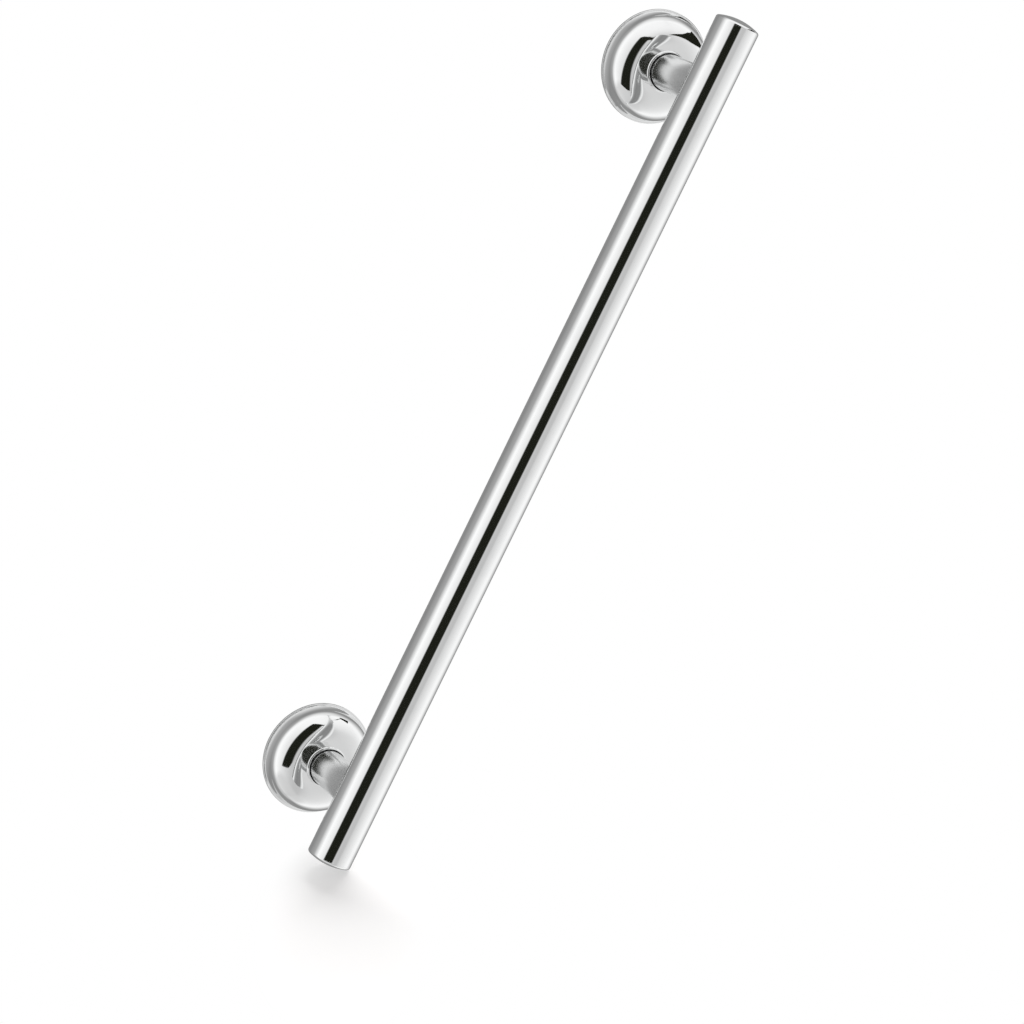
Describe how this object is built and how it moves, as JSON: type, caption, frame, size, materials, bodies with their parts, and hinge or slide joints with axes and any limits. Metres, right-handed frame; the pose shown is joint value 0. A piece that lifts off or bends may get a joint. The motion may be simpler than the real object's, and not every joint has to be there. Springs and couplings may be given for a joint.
{
  "type": "grab bar",
  "caption": "Straight chrome grab bar for a shower or bath: a round rail on round posts with domed wall flanges that hide the fixings.",
  "frame": {"origin": "on the wall's face, midway between the two posts and so midway between the two outermost wall screws", "axes": "+Z along the rail towards its upper end, +Y into the wall, -Y towards the room, +X across the rail"},
  "size_m": [0.081, 0.101, 0.6464],
  "materials": {
    "polished_chrome": "mirror-polished chrome plate on metal",
    "stainless_steel": "plain machined stainless steel screws and washers",
    "brass_nut": "unplated turned brass",
    "cast_plate": "zinc-coated steel, dull grey",
    "black_rubber": "matt black rubber"
  },
  "bodies": {
    "root": {"rail_tube": "polished_chrome", "end_cap_upper": "polished_chrome", "end_cap_lower": "polished_chrome", "post_upper": "polished_chrome", "post_lower": "polished_chrome", "flange_cover_upper": "polished_chrome", "flange_cover_lower": "polished_chrome", "post_bolts": "stainless_steel", "post_washers": "stainless_steel", "grub_screws": "stainless_steel", "saddle_nut_upper": "brass_nut", "saddle_nut_lower": "brass_nut", "wall_plate_upper": "cast_plate", "wall_plate_lower": "cast_plate", "cap_seal_upper": "black_rubber", "cap_seal_lower": "black_rubber", "cover_ring_upper": "black_rubber", "cover_ring_lower": "black_rubber", "wall_gasket_upper": "black_rubber", "wall_gasket_lower": "black_rubber"}
  },
  "joints": []
}
